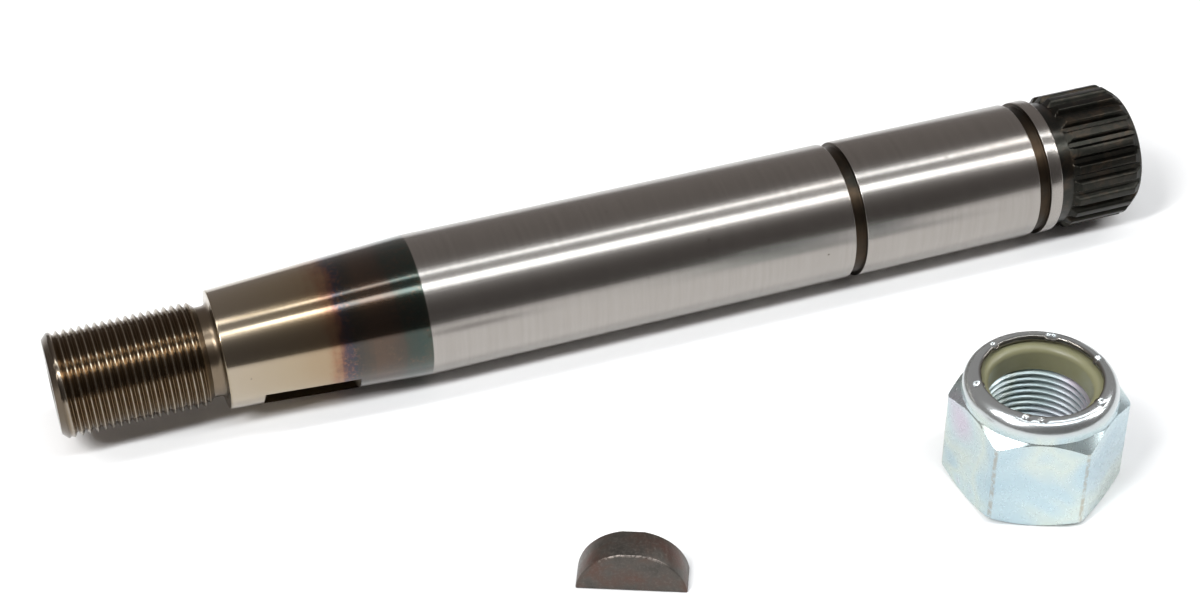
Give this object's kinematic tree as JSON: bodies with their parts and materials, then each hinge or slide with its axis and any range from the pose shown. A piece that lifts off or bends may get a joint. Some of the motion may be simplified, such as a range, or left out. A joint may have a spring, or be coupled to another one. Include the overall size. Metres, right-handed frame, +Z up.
{
  "type": "taper-nose splined drive shaft kit",
  "caption": "Straight steel drive shaft with a threaded tapered nose, keyseat, ring grooves and splined end, with its loose Woodruff key and nylon-insert lock nut.",
  "frame": {"origin": "on the shaft's axis, in the middle of the main journal", "axes": "+X along the shaft towards the spline, +Z up from the surface the three loose parts rest on"},
  "size_m": [0.279, 0.1269, 0.035],
  "materials": {
    "shaft_steel": "ground, with heat tint on the taper and oiled black oxide on the thread and spline",
    "key_steel": "dark mill scale with worn edges",
    "nut_zinc": "bright zinc plate",
    "insert_nylon": "natural nylon"
  },
  "bodies": {
    "shaft": {"shaft": "shaft_steel"},
    "key": {"woodruff_key": "key_steel"},
    "nut": {"lock_nut": "nut_zinc", "lock_nut_insert": "insert_nylon"}
  },
  "joints": [
    {"name": "key_lift", "type": "slide", "parent": "shaft", "child": "key", "axis": [0, 0, 1], "range_m": [0, 0.08]},
    {"name": "nut_lift", "type": "slide", "parent": "shaft", "child": "nut", "axis": [0, 0, 1], "range_m": [0, 0.08]}
  ]
}
